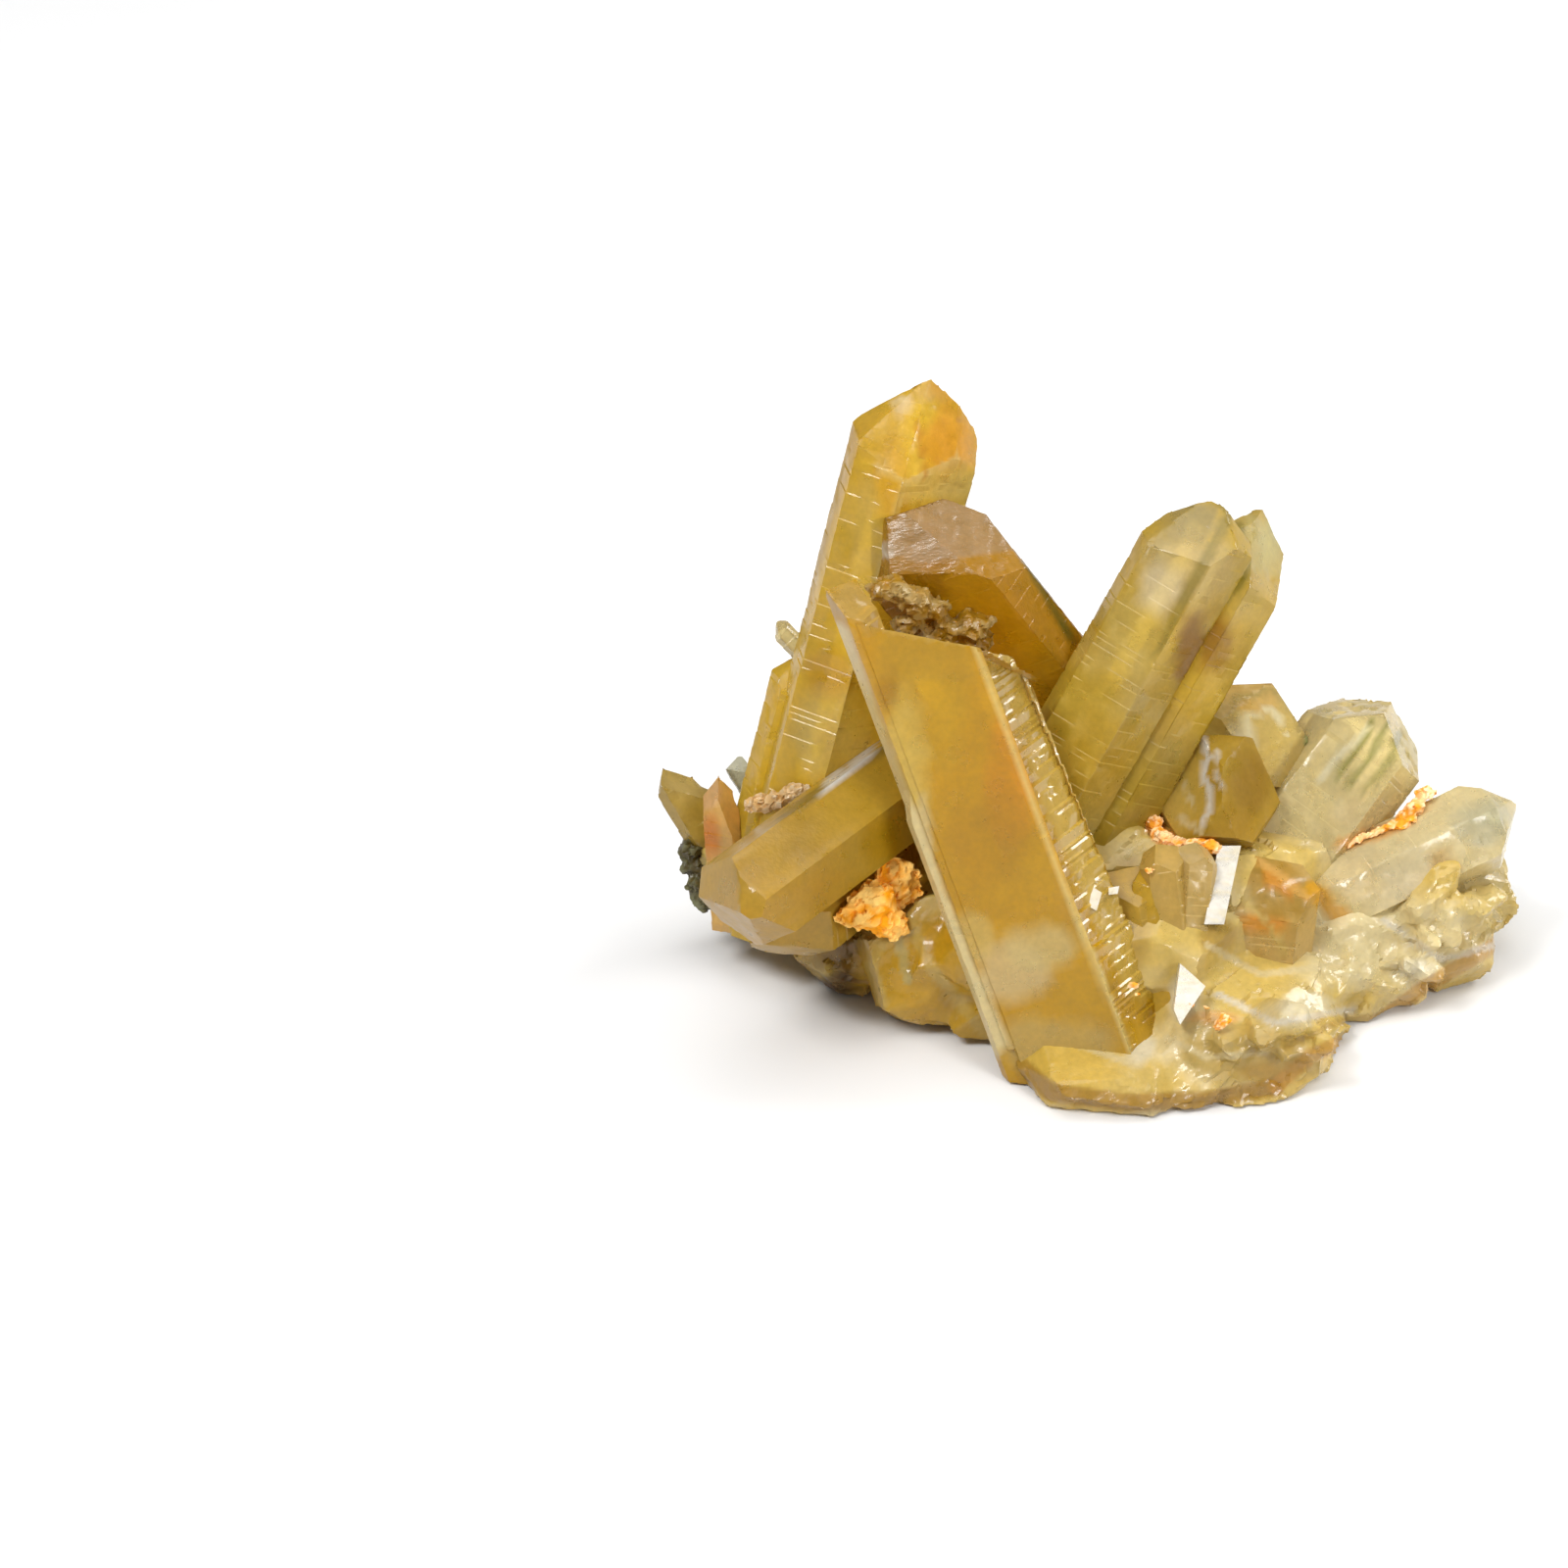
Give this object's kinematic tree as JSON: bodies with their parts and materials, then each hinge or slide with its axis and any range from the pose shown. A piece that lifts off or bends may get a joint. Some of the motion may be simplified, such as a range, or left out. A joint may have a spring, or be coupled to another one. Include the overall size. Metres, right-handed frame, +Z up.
{
  "type": "citrine quartz crystal cluster",
  "caption": "Natural cluster of long yellow quartz crystals fanning out from a broken base, for display on its flat underside.",
  "frame": {"origin": "middle of the cluster's box at the level of its flat underside", "axes": "+Z up, +X along the cluster's width to the right as seen from the front, +Y away from the front"},
  "size_m": [0.0886, 0.053, 0.063],
  "materials": {
    "yellow_quartz": "cloudy, see-through amber-yellow quartz with glossy crystal faces and a rough broken base"
  },
  "bodies": {
    "root": {"crystal_cluster": "yellow_quartz"}
  },
  "joints": []
}
